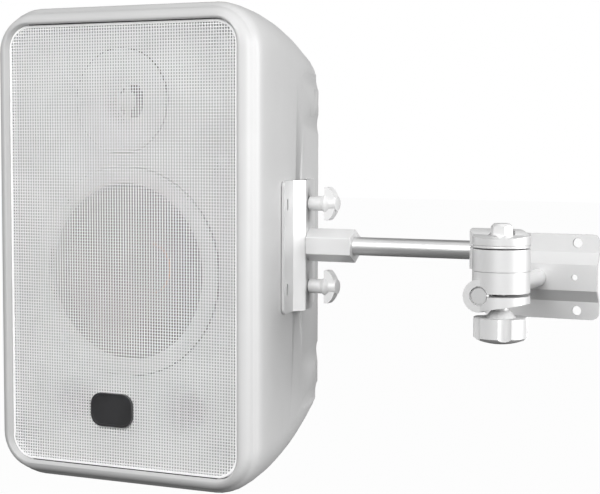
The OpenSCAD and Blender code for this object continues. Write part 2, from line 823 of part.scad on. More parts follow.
front_baffle();
rear_shell();
grille();
badge();
cabinet_screws();
bracket_inserts();
woofer_basket();
woofer_gasket();
woofer_surround();
woofer_cone();
woofer_dust_cap();
woofer_spider();
woofer_voice_coil();
woofer_top_plate();
woofer_magnet();
woofer_yoke();
woofer_screws();
tweeter_faceplate();
tweeter_phase_plug();
tweeter_dome();
tweeter_top_plate();
tweeter_magnet();
tweeter_yoke();
tweeter_screws();
port_tube_left();
port_tube_right();
crossover_board();
crossover_coils();
crossover_capacitors();
crossover_resistor();
board_screws();
terminal_cup();
terminal_lever_red();
terminal_lever_black();
terminal_screws();
speaker_bracket();
hex_socket();
arm_rod();
thumb_knob_upper();
thumb_knob_lower();
thumb_stud_upper();
thumb_stud_lower();
clamp_upper_block();
clamp_lower_block();
clamp_bolt();
clamp_washer();
clamp_knob();
clamp_knob_insert();
wall_rod();
wall_plate();
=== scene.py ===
"""Looks for a compact wall loudspeaker on its swivel arm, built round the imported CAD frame."""

import json
import math

import bpy
from mathutils import Matrix, Vector


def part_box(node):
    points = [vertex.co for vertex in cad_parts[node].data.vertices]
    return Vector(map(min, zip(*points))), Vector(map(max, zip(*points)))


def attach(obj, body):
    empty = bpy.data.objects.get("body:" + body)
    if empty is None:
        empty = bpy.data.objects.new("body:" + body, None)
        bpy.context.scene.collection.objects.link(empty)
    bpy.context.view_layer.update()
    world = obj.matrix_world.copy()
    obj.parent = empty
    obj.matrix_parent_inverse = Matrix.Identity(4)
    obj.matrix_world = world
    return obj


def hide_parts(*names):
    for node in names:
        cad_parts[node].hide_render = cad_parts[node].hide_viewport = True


bl_info = {
    "name": "Wall loudspeaker looks",
    "version": (1, 0, 0),
    "blender": (4, 5, 0),
    "location": "3D View > Sidebar > Loudspeaker",
    "description": "Dresses the CAD frame of a small wall loudspeaker and sets up its studio",
    "category": "Object",
}

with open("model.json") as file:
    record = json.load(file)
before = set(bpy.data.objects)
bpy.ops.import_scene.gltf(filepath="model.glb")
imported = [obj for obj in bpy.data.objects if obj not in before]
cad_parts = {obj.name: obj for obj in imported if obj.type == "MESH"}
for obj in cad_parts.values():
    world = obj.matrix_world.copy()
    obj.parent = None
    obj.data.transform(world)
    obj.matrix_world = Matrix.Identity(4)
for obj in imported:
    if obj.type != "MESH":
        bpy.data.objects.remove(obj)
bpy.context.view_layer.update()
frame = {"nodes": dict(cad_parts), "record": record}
BODY_OF = {
    node: body
    for body, nodes in frame["record"]["behaviour"]["bodies"].items()
    for node in nodes
}
SLOT_OF = {s["node"]: s["material_slot"] for s in frame["record"]["subparts"]}

MM = 0.001
# Points closer than this are one point
MERGE = 2e-6
# Neighbouring faces within this many degrees are one face: on plain pieces, and on curved ones
FLAT = 0.4
FLAT_CURVED = 0.02
# Edges sharper than this many degrees are rounded
BEVEL_ANGLE = 32
GRILLE_LOW, GRILLE_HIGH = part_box("grille")
# The middle of the grille's face, from which the cabinet is measured
CABINET = Vector(
    ((GRILLE_LOW.x + GRILLE_HIGH.x) / 2, GRILLE_LOW.y, (GRILLE_LOW.z + GRILLE_HIGH.z) / 2)
)


def clear_selection():
    """Leaves edit mode and selects nothing."""
    if bpy.context.object and bpy.context.object.mode != "OBJECT":
        bpy.ops.object.mode_set(mode="OBJECT")
    bpy.ops.object.select_all(action="DESELECT")


def activate(piece):
    """Selects one piece alone and makes it the active one."""
    clear_selection()
    piece.select_set(True)
    bpy.context.view_layer.objects.active = piece


def close_edit():
    """Goes back from edit mode."""
    bpy.ops.object.mode_set(mode="OBJECT")


def settle(piece):
    """Puts a piece's place, turn and size into its mesh."""
    activate(piece)
    bpy.ops.object.transform_apply(location=True, rotation=True, scale=True)


def outward(piece):
    """Merges doubled points and turns every face outwards."""
    activate(piece)
    bpy.ops.object.mode_set(mode="EDIT")
    bpy.ops.mesh.select_all(action="SELECT")
    bpy.ops.mesh.remove_doubles(threshold=MERGE)
    bpy.ops.mesh.normals_make_consistent(inside=False)
    close_edit()


def modify(piece, kind, **settings):
    """Adds one modifier and applies it."""
    activate(piece)
    modifier = piece.modifiers.new(kind.lower(), kind)
    for key, value in settings.items():
        setattr(modifier, key, value)
    bpy.ops.object.modifier_apply(modifier=modifier.name)


def round_edges(piece, width, segments=2):
    """Breaks the sharp edges of a piece with a small radius."""
    modify(
        piece, "BEVEL", width=width, segments=segments, limit_method="ANGLE",
        angle_limit=math.radians(BEVEL_ANGLE), harden_normals=False, use_clamp_overlap=True,
        miter_outer="MITER_ARC",
    )


def smooth(piece, angle=34, flat_faces=False):
    """Shades a piece smooth, keeps its real edges and, if asked, its flat faces flat."""
    activate(piece)
    bpy.ops.object.shade_smooth_by_angle(angle=math.radians(angle), keep_sharp_edges=False)
    if flat_faces:
        modify(piece, "WEIGHTED_NORMAL", keep_sharp=True, mode="FACE_AREA", weight=80)


def copy_of(node, name, flat=FLAT):
    """A copy of a CAD node with its triangles merged into whole faces."""
    mesh = frame["nodes"][node].data.copy()
    mesh.materials.clear()
    piece = bpy.data.objects.new(name, mesh)
    bpy.context.scene.collection.objects.link(piece)
    activate(piece)
    bpy.ops.object.mode_set(mode="EDIT")
    bpy.ops.mesh.select_all(action="SELECT")
    bpy.ops.mesh.remove_doubles(threshold=MERGE)
    bpy.ops.mesh.dissolve_limited(angle_limit=math.radians(flat), use_dissolve_boundaries=False)
    close_edit()
    return piece


def pick(piece, kind, wanted):
    """Opens edit mode with the wanted edges or faces of a piece selected."""
    activate(piece)
    bpy.ops.object.mode_set(mode="EDIT")
    bpy.ops.mesh.select_mode(type=kind)
    bpy.ops.mesh.select_all(action="DESELECT")
    close_edit()
    points = piece.data.vertices
    if kind == "EDGE":
        for edge in piece.data.edges:
            edge.select = bool(wanted(*(points[v].co for v in edge.vertices)))
    else:
        for face in piece.data.polygons:
            face.select = bool(wanted(face))
    bpy.ops.object.mode_set(mode="EDIT")


def turned(name, section, centre, axis=1, steps=96):
    """Spins a half section of (radius, distance) points about an axis through a centre."""
    clear_selection()
    bpy.ops.mesh.primitive_plane_add(size=MM, location=centre)
    piece = bpy.context.object
    piece.name = name
    settle(piece)
    bpy.ops.object.mode_set(mode="EDIT")
    bpy.ops.mesh.select_mode(type="VERT")
    bpy.ops.mesh.select_all(action="SELECT")
    bpy.ops.mesh.merge(type="CENTER")
    across = (axis + 1) % 3
    last = (0.0, 0.0)
    for count, point in enumerate(section):
        step = Vector((0, 0, 0))
        step[across] = (point[0] - last[0]) * MM
        step[axis] = (point[1] - last[1]) * MM
        if count:
            bpy.ops.mesh.extrude_region_move(TRANSFORM_OT_translate={"value": step})
        else:
            bpy.ops.transform.translate(value=step)
        last = point
    bpy.ops.mesh.select_all(action="SELECT")
    about = Vector((0, 0, 0))
    about[axis] = 1
    bpy.ops.mesh.spin(steps=steps, angle=2 * math.pi, center=centre, axis=about)
    close_edit()
    outward(piece)
    return piece


def arc(across, deep, radius, angles):
    """Section points on a circle round a point; 90 degrees is in front of it."""
    return [
        (across + radius * math.cos(math.radians(a)), deep - radius * math.sin(math.radians(a)))
        for a in angles
    ]


def cup(deep, radius, angles):
    """Section points on a sphere centred on the axis, by their angle from it."""
    return [
        (radius * math.sin(math.radians(a)), deep - radius * math.cos(math.radians(a)))
        for a in angles
    ]


def trim(piece, point, away):
    """Cuts off what lies past a plane and closes the cut."""
    activate(piece)
    bpy.ops.object.mode_set(mode="EDIT")
    bpy.ops.mesh.select_all(action="SELECT")
    bpy.ops.mesh.bisect(
        plane_co=point, plane_no=away, use_fill=True, clear_outer=True, threshold=MERGE
    )
    close_edit()


ALONG = {
    0: Matrix.Rotation(math.pi / 2, 4, "Y"),
    1: Matrix.Rotation(-math.pi / 2, 4, "X"),
    2: Matrix.Identity(4),
}


def at(base, x, y, z):
    """A place measured from a base in millimetres."""
    return base + Vector((x, y, z)) * MM


def round_bar(name, axis, centre, start, end, radius, sides=128, turn=0.0):
    """A bar along one axis; start and end are millimetres from a centre on it."""
    clear_selection()
    middle = Vector(centre)
    middle[axis] += (start + end) / 2 * MM
    pose = ALONG[axis] @ Matrix.Rotation(math.radians(turn), 4, "Z")
    bpy.ops.mesh.primitive_cylinder_add(
        vertices=sides, radius=radius * MM, depth=(end - start) * MM,
        location=middle, rotation=pose.to_euler(),
    )
    bar = bpy.context.object
    bar.name = name
    settle(bar)
    return bar


def block(name, low, high):
    """A box between two corners."""
    clear_selection()
    bpy.ops.mesh.primitive_cube_add(size=1.0, location=(low + high) / 2)
    box = bpy.context.object
    box.name = name
    box.scale = high - low
    settle(box)
    return box


def combine(piece, tool, how):
    """Joins a tool to a piece, or cuts it out, and takes the tool away."""
    modify(piece, "BOOLEAN", operation=how, solver="EXACT", object=tool)
    bpy.data.objects.remove(tool)


def bar_along(name, node, axis, chamfer):
    """A round bar with broken ends, as long and thick as a CAD node."""
    low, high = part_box(node)
    middle = (low + high) / 2
    size = high - low
    turn = {0: (0, math.pi / 2, 0), 1: (math.pi / 2, 0, 0)}[axis]
    clear_selection()
    bpy.ops.mesh.primitive_cylinder_add(
        vertices=96, radius=size.z / 2, depth=size[axis], location=middle, rotation=turn
    )
    bar = bpy.context.object
    bar.name = name
    settle(bar)
    pick(bar, "EDGE", lambda a, b: abs(a[axis] - b[axis]) < MERGE)
    bpy.ops.mesh.bevel(offset=chamfer, segments=1)
    close_edit()
    smooth(bar, 30, flat_faces=True)
    return bar


def stand_for(piece, material, *nodes):
    """Gives a piece its finish and its body, and hides the CAD nodes that it stands for."""
    piece.data.materials.clear()
    piece.data.materials.append(material)
    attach(piece, BODY_OF[nodes[0]])
    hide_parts(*nodes)


def dress(node, material, edge=0.0, angle=34):
    """Finishes one CAD node as a rounded and smoothly shaded piece."""
    piece = copy_of(node, node + "_finished", FLAT if edge else FLAT_CURVED)
    if edge:
        round_edges(piece, edge)
    smooth(piece, angle, flat_faces=bool(edge))
    stand_for(piece, material, node)


def new_group(name, inputs, outputs):
    """A shader node group with named sockets, and its two end nodes."""
    group = bpy.data.node_groups.new(name, "ShaderNodeTree")
    for label, kind, value in inputs:
        socket = group.interface.new_socket(label, in_out="INPUT", socket_type=kind)
        socket.default_value = value
    for label, kind in outputs:
        group.interface.new_socket(label, in_out="OUTPUT", socket_type=kind)
    start = group.nodes.new("NodeGroupInput")
    end = group.nodes.new("NodeGroupOutput")
    return group, start, end


def noise(tree, vector, scale_from, detail):
    """A noise texture whose scale is a socket."""
    node = tree.nodes.new("ShaderNodeTexNoise")
    node.inputs["Detail"].default_value = detail
    node.inputs["Roughness"].default_value = 0.55
    tree.links.new(vector, node.inputs["Vector"])
    tree.links.new(scale_from, node.inputs["Scale"])
    return node


def spread(tree, value, low, high):
    """Maps 0.3 to 0.7 of a pattern onto low to high."""
    node = tree.nodes.new("ShaderNodeMapRange")
    node.interpolation_type = "SMOOTHSTEP"
    node.inputs["From Min"].default_value = 0.3
    node.inputs["From Max"].default_value = 0.7
    tree.links.new(value, node.inputs["Value"])
    for socket, source in (("To Min", low), ("To Max", high)):
        if isinstance(source, (int, float)):
            node.inputs[socket].default_value = source
        else:
            tree.links.new(source, node.inputs[socket])
    return node.outputs["Result"]


def skin_group():
    """Moulded or coated surface: faint patches of tone, a fine grain and uneven gloss."""
    group, start, end = new_group(
        "coated_skin",
        [
            ("Colour", "NodeSocketColor", (0.8, 0.8, 0.8, 1)),
            ("Shade", "NodeSocketColor", (0.7, 0.7, 0.7, 1)),
            ("Patch Scale", "NodeSocketFloat", 30.0),
            ("Grain Scale", "NodeSocketFloat", 2500.0),
            ("Smooth", "NodeSocketFloat", 0.35),
            ("Rough", "NodeSocketFloat", 0.5),
        ],
        [
            ("Colour", "NodeSocketColor"),
            ("Roughness", "NodeSocketFloat"),
            ("Height", "NodeSocketFloat"),
        ],
    )
    place = group.nodes.new("ShaderNodeTexCoord")
    patches = noise(group, place.outputs["Object"], start.outputs["Patch Scale"], 4.0)
    grain = noise(group, place.outputs["Object"], start.outputs["Grain Scale"], 2.0)
    mix = group.nodes.new("ShaderNodeMix")
    mix.data_type = "RGBA"
    group.links.new(spread(group, patches.outputs["Fac"], 0.0, 1.0), mix.inputs["Factor"])
    group.links.new(start.outputs["Colour"], mix.inputs["A"])
    group.links.new(start.outputs["Shade"], mix.inputs["B"])
    group.links.new(mix.outputs["Result"], end.inputs["Colour"])
    rough = spread(group, grain.outputs["Fac"], start.outputs["Smooth"], start.outputs["Rough"])
    group.links.new(rough, end.inputs["Roughness"])
    group.links.new(grain.outputs["Fac"], end.inputs["Height"])


def drawn_group():
    """Drawn or ground metal: fine lines along one direction over soft patches."""
    group, start, end = new_group(
        "drawn_metal",
        [
            ("Colour", "NodeSocketColor", (0.8, 0.8, 0.8, 1)),
            ("Shade", "NodeSocketColor", (0.6, 0.6, 0.6, 1)),
            ("Line Scale", "NodeSocketVector", (40.0, 2500.0, 2500.0)),
            ("Smooth", "NodeSocketFloat", 0.2),
            ("Rough", "NodeSocketFloat", 0.35),
        ],
        [
            ("Colour", "NodeSocketColor"),
            ("Roughness", "NodeSocketFloat"),
            ("Height", "NodeSocketFloat"),
        ],
    )
    place = group.nodes.new("ShaderNodeTexCoord")
    stretch = group.nodes.new("ShaderNodeVectorMath")
    stretch.operation = "MULTIPLY"
    group.links.new(place.outputs["Object"], stretch.inputs[0])
    group.links.new(start.outputs["Line Scale"], stretch.inputs[1])
    lines = group.nodes.new("ShaderNodeTexNoise")
    lines.inputs["Scale"].default_value = 1.0
    lines.inputs["Detail"].default_value = 3.0
    group.links.new(stretch.outputs[0], lines.inputs["Vector"])
    mix = group.nodes.new("ShaderNodeMix")
    mix.data_type = "RGBA"
    group.links.new(spread(group, lines.outputs["Fac"], 0.0, 1.0), mix.inputs["Factor"])
    group.links.new(start.outputs["Colour"], mix.inputs["A"])
    group.links.new(start.outputs["Shade"], mix.inputs["B"])
    group.links.new(mix.outputs["Result"], end.inputs["Colour"])
    rough = spread(group, lines.outputs["Fac"], start.outputs["Smooth"], start.outputs["Rough"])
    group.links.new(rough, end.inputs["Roughness"])
    group.links.new(lines.outputs["Fac"], end.inputs["Height"])


def weave_group():
    """Crossing threads for cloth and wound wire."""
    group, start, end = new_group(
        "thread_weave",
        [
            ("Colour", "NodeSocketColor", (0.5, 0.4, 0.2, 1)),
            ("Shade", "NodeSocketColor", (0.2, 0.15, 0.1, 1)),
            ("Pitch Scale", "NodeSocketVector", (6000.0, 0.0, 6000.0)),
        ],
        [("Colour", "NodeSocketColor"), ("Height", "NodeSocketFloat")],
    )
    place = group.nodes.new("ShaderNodeTexCoord")
    stretch = group.nodes.new("ShaderNodeVectorMath")
    stretch.operation = "MULTIPLY"
    group.links.new(place.outputs["Object"], stretch.inputs[0])
    group.links.new(start.outputs["Pitch Scale"], stretch.inputs[1])
    waves = group.nodes.new("ShaderNodeVectorMath")
    waves.operation = "SINE"
    group.links.new(stretch.outputs[0], waves.inputs[0])
    parts = group.nodes.new("ShaderNodeSeparateXYZ")
    group.links.new(waves.outputs[0], parts.inputs[0])
    total = group.nodes.new("ShaderNodeMath")
    total.operation = "ADD"
    group.links.new(parts.outputs["X"], total.inputs[0])
    group.links.new(parts.outputs["Z"], total.inputs[1])
    rows = group.nodes.new("ShaderNodeMath")
    rows.operation = "ADD"
    group.links.new(total.outputs[0], rows.inputs[0])
    group.links.new(parts.outputs["Y"], rows.inputs[1])
    level = group.nodes.new("ShaderNodeMapRange")
    level.inputs["From Min"].default_value = -2.0
    level.inputs["From Max"].default_value = 2.0
    group.links.new(rows.outputs[0], level.inputs["Value"])
    mix = group.nodes.new("ShaderNodeMix")
    mix.data_type = "RGBA"
    group.links.new(level.outputs["Result"], mix.inputs["Factor"])
    group.links.new(start.outputs["Shade"], mix.inputs["A"])
    group.links.new(start.outputs["Colour"], mix.inputs["B"])
    group.links.new(mix.outputs["Result"], end.inputs["Colour"])
    group.links.new(level.outputs["Result"], end.inputs["Height"])


def principled(name):
    """An empty material with its shader and tree."""
    material = bpy.data.materials.new(name)
    material.use_nodes = True
    tree = material.node_tree
    return material, tree, tree.nodes["Principled BSDF"]


def pattern(tree, shader, group, values, depth):
    """Places a pattern group in a material, gives it its values and joins it to the shader."""
    node = tree.nodes.new("ShaderNodeGroup")
    node.node_tree = bpy.data.node_groups[group]
    for label, value in values.items():
        node.inputs[label].default_value = value
    tree.links.new(node.outputs["Colour"], shader.inputs["Base Color"])
    if "Roughness" in node.outputs:
        tree.links.new(node.outputs["Roughness"], shader.inputs["Roughness"])
    if depth:
        bump = tree.nodes.new("ShaderNodeBump")
        bump.inputs["Strength"].default_value = 1.0
        bump.inputs["Distance"].default_value = depth
        tree.links.new(node.outputs["Height"], bump.inputs["Height"])
        tree.links.new(bump.outputs["Normal"], shader.inputs["Normal"])


def grey(value):
    """A plain grey."""
    return (value, value, value, 1.0)


def solid(colour):
    """A colour setting as a full colour."""
    return tuple(colour) + (1.0,)


def tone(colour, share):
    """A colour made darker by a share."""
    return tuple(c * share for c in colour[:3]) + (1.0,)


def coated(name, colour, shade, smooth_to, rough_to, patch, grain, depth, metallic=0.0, coat=0.0):
    """Paint, powder coat, moulded plastic, rubber, paper or ceramic."""
    material, tree, shader = principled(name)
    values = {
        "Colour": colour, "Shade": tone(colour, shade), "Patch Scale": patch,
        "Grain Scale": grain, "Smooth": smooth_to, "Rough": rough_to,
    }
    pattern(tree, shader, "coated_skin", values, depth)
    shader.inputs["Metallic"].default_value = metallic
    shader.inputs["Coat Weight"].default_value = coat
    shader.inputs["Coat Roughness"].default_value = 0.12
    return material


def drawn(name, colour, lines, smooth_to, rough_to, shade=0.9, depth=1e-6):
    """Bare metal with fine lines along one axis."""
    material, tree, shader = principled(name)
    values = {
        "Colour": colour, "Shade": tone(colour, shade), "Line Scale": lines,
        "Smooth": smooth_to, "Rough": rough_to,
    }
    pattern(tree, shader, "drawn_metal", values, depth)
    shader.inputs["Metallic"].default_value = 1.0
    return material


def woven(name, colour, shade, pitch, roughness, depth, metallic=0.0):
    """Cloth or wound wire."""
    material, tree, shader = principled(name)
    values = {"Colour": colour, "Shade": shade, "Pitch Scale": pitch}
    pattern(tree, shader, "thread_weave", values, depth)
    shader.inputs["Roughness"].default_value = roughness
    shader.inputs["Metallic"].default_value = metallic
    return material


FINISH = {}


def make_finishes(colours):
    """One material for each material slot of the record, and a few for details."""
    skin_group()
    drawn_group()
    weave_group()
    coat = solid(colours.coat)
    off_black = (0.035, 0.035, 0.037, 1.0)
    FINISH.update(
        white_plastic=coated(
            "white_moulding", solid(colours.plastic), 0.97, 0.38, 0.5, 22.0, 2600.0, 5e-6
        ),
        grille_metal=coated(
            "white_mesh_coat", solid(colours.mesh), 0.95, 0.4, 0.55, 60.0, 3000.0, 2e-6
        ),
        white_metal=coated(
            "white_powder_coat", coat, 0.98, 0.4, 0.46, 40.0, 1800.0, depth=0, metallic=0.25
        ),
        white_nylon=coated(
            "white_smooth_moulding", coat, 0.98, 0.36, 0.42, 60.0, 2600.0, depth=0, metallic=0.15
        ),
        badge_black=coated(
            "badge_enamel", off_black, 0.8, 0.3, 0.4, 90.0, 3000.0, 1e-6, coat=0.6
        ),
        dark_plastic=coated(
            "dark_moulding", (0.03, 0.03, 0.033, 1.0), 0.8, 0.4, 0.55, 60.0, 2500.0, 6e-6
        ),
        red_plastic=coated(
            "red_moulding", (0.45, 0.03, 0.025, 1.0), 0.85, 0.3, 0.42, 60.0, 2500.0, 4e-6
        ),
        dark_rubber=coated(
            "matt_rubber", off_black, 0.75, 0.6, 0.75, 120.0, 1600.0, 8e-6
        ),
        ferrite=coated(
            "sintered_ferrite", (0.06, 0.06, 0.063, 1.0), 0.6, 0.55, 0.7, 160.0, 1200.0, 2e-5
        ),
        circuit_board=coated(
            "solder_mask", (0.02, 0.12, 0.05, 1.0), 0.5, 0.25, 0.4, 240.0, 900.0, 4e-6, coat=0.4
        ),
        ceramic=coated(
            "cast_ceramic", (0.72, 0.69, 0.6, 1.0), 0.85, 0.6, 0.8, 200.0, 1500.0, 1.5e-5
        ),
        rod_steel=drawn(
            "satin_rod", grey(0.86), (60.0, 2600.0, 2600.0), 0.38, 0.44, 0.97, 0
        ),
        rod_steel_y=drawn(
            "satin_rod_short", grey(0.86), (2600.0, 60.0, 2600.0), 0.38, 0.44, 0.97, 0
        ),
        zinc_steel=drawn(
            "zinc_plate", (0.68, 0.69, 0.7, 1.0), (900.0, 900.0, 900.0), 0.3, 0.45, 0.85
        ),
        brass=drawn(
            "turned_brass", (0.75, 0.55, 0.22, 1.0), (60.0, 2600.0, 2600.0), 0.25, 0.4
        ),
        cone_paper=coated(
            "pressed_fibre", solid(colours.cone), 0.8, 0.7, 0.85, 260.0, 900.0, 3e-5
        ),
        spider_cloth=woven(
            "dipped_cloth", (0.5, 0.36, 0.16, 1), (0.25, 0.17, 0.07, 1),
            (5200.0, 0.0, 5200.0), 0.8, 3e-5,
        ),
        copper=woven(
            "enamelled_wire", (0.6, 0.28, 0.12, 1), (0.3, 0.12, 0.05, 1),
            (0.0, 14000.0, 0.0), 0.35, 2e-5, 1.0,
        ),
    )


class SpeakerColours(bpy.types.PropertyGroup):
    """Colours that a user would change."""

    plastic: bpy.props.FloatVectorProperty(
        name="Moulding", description="Colour of the cabinet's mouldings",
        subtype="COLOR", default=(0.56, 0.56, 0.56), min=0.0, max=1.0,
    )
    coat: bpy.props.FloatVectorProperty(
        name="Arm coat", description="Colour of the arm's coated metal",
        subtype="COLOR", default=(0.72, 0.72, 0.72), min=0.0, max=1.0,
    )
    mesh: bpy.props.FloatVectorProperty(
        name="Mesh", description="Colour of the grille's mesh",
        subtype="COLOR", default=(0.95, 0.95, 0.95), min=0.0, max=1.0,
    )
    cone: bpy.props.FloatVectorProperty(
        name="Cone", description="Colour of the woofer's cone",
        subtype="COLOR", default=(0.012, 0.012, 0.013), min=0.0, max=1.0,
    )


class SpeakerSizes(bpy.types.PropertyGroup):
    """Sizes that a user would change."""

    mesh_pitch: bpy.props.FloatProperty(
        name="Mesh pitch", description="Distance between the grille's bars",
        subtype="DISTANCE", unit="LENGTH", default=1.5 * MM, min=1.2 * MM, max=3 * MM,
    )
    mesh_bar: bpy.props.FloatProperty(
        name="Mesh bar", description="Width of one bar of the grille",
        subtype="DISTANCE", unit="LENGTH", default=0.54 * MM, min=0.3 * MM, max=1 * MM,
    )
    edge: bpy.props.FloatProperty(
        name="Edge radius", description="Radius of the broken edges on the arm's metal pieces",
        subtype="DISTANCE", unit="LENGTH", default=0.35 * MM, min=0.1 * MM, max=0.8 * MM,
    )


class SPEAKER_OT_finishes(bpy.types.Operator):
    """Makes the materials"""

    bl_idname = "speaker.finishes"
    bl_label = "Make finishes"

    def execute(self, context):
        make_finishes(context.scene.speaker_colours)
        return {"FINISHED"}


class SPEAKER_OT_cabinet(bpy.types.Operator):
    """Finishes the front moulding and the rear shell"""

    bl_idname = "speaker.cabinet"
    bl_label = "Cabinet mouldings"

    def execute(self, context):
        dress("front_baffle", FINISH["white_plastic"], angle=38)
        dress("rear_shell", FINISH["white_plastic"], angle=38)
        return {"FINISHED"}


def mesh_bar(width, depth):
    """One bar of the grille, a metre long, with its front edges broken."""
    clear_selection()
    bpy.ops.mesh.primitive_cube_add(size=1.0)
    bar = bpy.context.object
    bar.scale = (width, depth, 1.0)
    settle(bar)
    pick(bar, "EDGE", lambda a, b: abs(a.z - b.z) > 0.5 and a.y < 0)
    bpy.ops.mesh.bevel(offset=width * 0.22, segments=1)
    close_edit()
    return bar


def half_length(place, half_along, half_across, corner):
    """Half the length of a bar at a place across the rounded window."""
    past = abs(place) - (half_across - corner)
    if past <= 0:
        return half_along
    return half_along - corner + math.sqrt(max(corner * corner - past * past, 0.0))


class SPEAKER_OT_grille(bpy.types.Operator):
    """Builds the folded frame of the grille and its square mesh"""

    bl_idname = "speaker.grille"
    bl_label = "Grille"

    def execute(self, context):
        sizes = context.scene.speaker_sizes
        width = GRILLE_HIGH.x - GRILLE_LOW.x
        depth = GRILLE_HIGH.y - GRILLE_LOW.y
        height = GRILLE_HIGH.z - GRILLE_LOW.z
        corner, border, sheet, fold = 12 * MM, 1.3 * MM, 0.8 * MM, 0.7 * MM

        clear_selection()
        bpy.ops.mesh.primitive_cube_add(size=1.0)
        rim = bpy.context.object
        rim.name = "grille_folded_rim"
        rim.scale = (width, depth, height)
        rim.location = CABINET + Vector((0, depth / 2, 0))
        settle(rim)
        pick(rim, "EDGE", lambda a, b: abs(a.y - b.y) > depth / 2)
        bpy.ops.mesh.bevel(offset=corner, segments=12)
        close_edit()
        pick(rim, "FACE", lambda f: f.normal.y > 0.9)
        bpy.ops.mesh.delete(type="FACE")
        close_edit()
        pick(rim, "FACE", lambda f: f.normal.y < -0.9)
        bpy.ops.mesh.inset(thickness=border)
        bpy.ops.mesh.delete(type="FACE")
        close_edit()
        in_front = CABINET.y + 0.01 * MM
        pick(
            rim, "EDGE",
            lambda a, b: max(a.y, b.y) < in_front
            and self.outer(a, b, width, height, corner, border),
        )
        bpy.ops.mesh.bevel(offset=fold, segments=3)
        close_edit()
        modify(rim, "SOLIDIFY", thickness=sheet, offset=-1.0)
        outward(rim)

        bar = mesh_bar(sizes.mesh_bar, 0.5 * MM)
        window_x, window_z = width / 2 - border, height / 2 - border
        inside = corner - border
        reach = 0.5 * MM
        bars = [rim]
        upright_depth, level_depth = 0.38 * MM, 0.46 * MM
        count_x = int(window_x / sizes.mesh_pitch)
        count_z = int(window_z / sizes.mesh_pitch)
        for i in range(-count_x, count_x + 1):
            x = i * sizes.mesh_pitch
            long = 2 * (half_length(x, window_z, window_x, inside) + reach)
            place = CABINET + Vector((x, upright_depth, 0))
            bars.append(self.lay(bar, Matrix.Identity(4), long, place))
        turn = Matrix.Rotation(math.radians(90), 4, "Y")
        for i in range(-count_z, count_z + 1):
            z = i * sizes.mesh_pitch
            long = 2 * (half_length(z, window_x, window_z, inside) + reach)
            place = CABINET + Vector((0, level_depth, z))
            bars.append(self.lay(bar, turn, long, place))
        bpy.data.objects.remove(bar)
        clear_selection()
        for piece in bars:
            piece.select_set(True)
        bpy.context.view_layer.objects.active = rim
        bpy.ops.object.join()
        rim.name = "grille_mesh"
        smooth(rim, 40)
        stand_for(rim, FINISH["grille_metal"], "grille")

        # Dark rubber strips along the top and bottom edges of the grille's window are painted
        # shadow: they stand for the dark gap line between the bezel's lip and the grille.
        for name, side in (("grille_seal_upper", 1), ("grille_seal_lower", -1)):
            clear_selection()
            place = CABINET + Vector((0, 2.6 * MM, side * (height / 2 + 0.24 * MM)))
            bpy.ops.mesh.primitive_cube_add(size=1.0, location=place)
            shadow_piece = context.object
            shadow_piece.name = name
            shadow_piece.scale = (width - 2 * corner, 4 * MM, 0.44 * MM)
            settle(shadow_piece)
            round_edges(shadow_piece, 0.1 * MM)
            shadow_piece.data.materials.append(FINISH["dark_rubber"])
            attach(shadow_piece, BODY_OF["grille"])
        return {"FINISHED"}

    @staticmethod
    def outer(a, b, width, height, corner, border):
        """True for an edge on the outer outline of the rim's face."""
        def depth_in(p):
            x = abs(p.x - CABINET.x) - (width / 2 - corner)
            z = abs(p.z - CABINET.z) - (height / 2 - corner)
            if x > 0 and z > 0:
                return corner - math.hypot(x, z)
            return corner - max(x, z)
        return depth_in(a) < border / 3 and depth_in(b) < border / 3

    @staticmethod
    def lay(bar, turn, length, place):
        """A copy of the bar with its own mesh, cut to length and laid in place."""
        mesh = bar.data.copy()
        mesh.transform(Matrix.Translation(place) @ turn @ Matrix.Diagonal((1, 1, length, 1)))
        piece = bpy.data.objects.new("bar", mesh)
        bpy.context.scene.collection.objects.link(piece)
        return piece


class SPEAKER_OT_badge(bpy.types.Operator):
    """Builds the plain badge with its sunk face"""

    bl_idname = "speaker.badge"
    bl_label = "Badge"

    def execute(self, context):
        low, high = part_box("badge")
        size = high - low
        corner, rim, sunk = 6 * MM, 1.1 * MM, 0.45 * MM
        clear_selection()
        bpy.ops.mesh.primitive_cube_add(size=1.0, location=(low + high) / 2)
        plate = context.object
        plate.name = "badge_plate"
        plate.scale = size
        settle(plate)
        pick(plate, "EDGE", lambda a, b: abs(a.y - b.y) > size.y / 2)
        bpy.ops.mesh.bevel(offset=corner, segments=12)
        close_edit()
        pick(plate, "FACE", lambda f: f.normal.y < -0.9)
        bpy.ops.mesh.inset(thickness=rim)
        bpy.ops.mesh.extrude_region_move(TRANSFORM_OT_translate={"value": (0, sunk, 0)})
        close_edit()
        round_edges(plate, 0.18 * MM)
        smooth(plate, flat_faces=True)
        stand_for(plate, FINISH["badge_black"], "badge")
        return {"FINISHED"}


